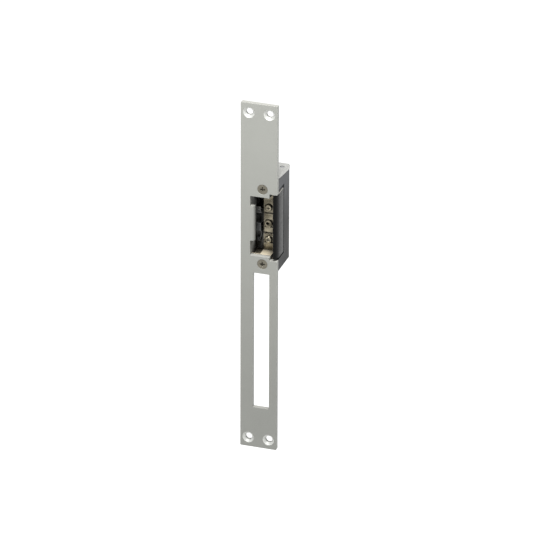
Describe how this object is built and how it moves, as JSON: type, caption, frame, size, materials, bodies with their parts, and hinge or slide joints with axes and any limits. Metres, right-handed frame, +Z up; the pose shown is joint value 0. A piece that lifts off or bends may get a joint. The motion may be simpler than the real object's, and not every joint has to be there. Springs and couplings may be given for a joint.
{
  "type": "electric door strike",
  "caption": "Electric door strike: long flat faceplate with a deadbolt slot and, behind it, a body with a swinging keeper, latch pocket, locking lever and coil.",
  "frame": {"origin": "on the faceplate's rear face, midway between the two upper fixing holes, where it seats in the door frame", "axes": "+Z up along the faceplate, +Y back into the door frame, +X to the side on which the keeper swings out"},
  "size_m": [0.025, 0.0274, 0.25],
  "materials": {
    "painted_plate": "pale grey satin paint",
    "cast_zinc": "cast, silver grey, fine grain",
    "blue_steel": "blue-grey plated sheet, satin",
    "dark_steel": "dark burnished steel",
    "screw_steel": "dull grey-brown plated steel",
    "yellow_zinc": "pale brass-coloured plating",
    "bright_steel": "bright plated steel",
    "soft_iron": "grey plated iron",
    "spring_steel": "drawn wire",
    "brass": "turned brass",
    "coil_tape": "dark tape over the winding",
    "pale_nylon": "moulded, pale",
    "black_nylon": "moulded, black",
    "lead_sleeve": "thin red wire sleeve"
  },
  "bodies": {
    "fixed_body": {"faceplate": "painted_plate", "faceplate_screw_lower": "screw_steel", "faceplate_screw_upper": "screw_steel", "housing": "cast_zinc", "side_cover": "blue_steel", "cover_screw_lower": "bright_steel", "cover_screw_upper": "bright_steel", "keeper_pin": "bright_steel", "keeper_spring": "spring_steel", "lever_pin": "bright_steel", "lever_spring": "spring_steel", "armature_pin": "bright_steel", "armature_spring": "spring_steel", "armature_adjusting_screw": "bright_steel", "coil_bobbin": "pale_nylon", "coil_winding": "coil_tape", "coil_core": "soft_iron", "coil_yoke": "soft_iron", "release_lever_pin": "bright_steel", "terminal_block": "black_nylon", "terminal_clamp_left": "brass", "terminal_screw_left": "brass", "coil_lead_left": "lead_sleeve", "terminal_clamp_right": "brass", "terminal_screw_right": "brass", "coil_lead_right": "lead_sleeve"},
    "swinging_keeper": {"keeper": "dark_steel", "latch_plate": "yellow_zinc", "latch_plate_screw_upper": "yellow_zinc", "latch_plate_screw_lower": "yellow_zinc"},
    "lever_arm": {"locking_lever": "soft_iron"},
    "armature_arm": {"armature": "soft_iron"},
    "release_arm": {"release_lever": "soft_iron"}
  },
  "joints": [
    {"name": "keeper_swing", "type": "hinge", "parent": "fixed_body", "child": "swinging_keeper", "pos_m": [0.0101, 0.0089, -0.08], "axis": [0, 0, 1], "range_deg": [0, 60], "stiffness_Nm_per_rad": 0.02, "springref_deg": -17.19, "deforming": ["keeper_spring"]},
    {"name": "lever_swing", "type": "hinge", "parent": "fixed_body", "child": "lever_arm", "pos_m": [0.0074, 0.0147, -0.0828], "axis": [0, 1, 0], "range_deg": [0, 20], "deforming": ["lever_spring"]},
    {"name": "armature_lift", "type": "hinge", "parent": "fixed_body", "child": "armature_arm", "pos_m": [-0.0052, 0.017, -0.0767], "axis": [0, -1, 0], "range_deg": [0, 4.5], "deforming": ["armature_spring"]},
    {"name": "release_turn", "type": "hinge", "parent": "fixed_body", "child": "release_arm", "pos_m": [-0.0044, 0.0108, -0.0967], "axis": [0, 1, 0], "range_deg": [0, 6]}
  ],
  "couplings": [
    {"joint": "lever_swing", "follows": "keeper_swing", "ratio": 0.333},
    {"joint": "armature_lift", "follows": "keeper_swing", "ratio": 0.0745}
  ]
}
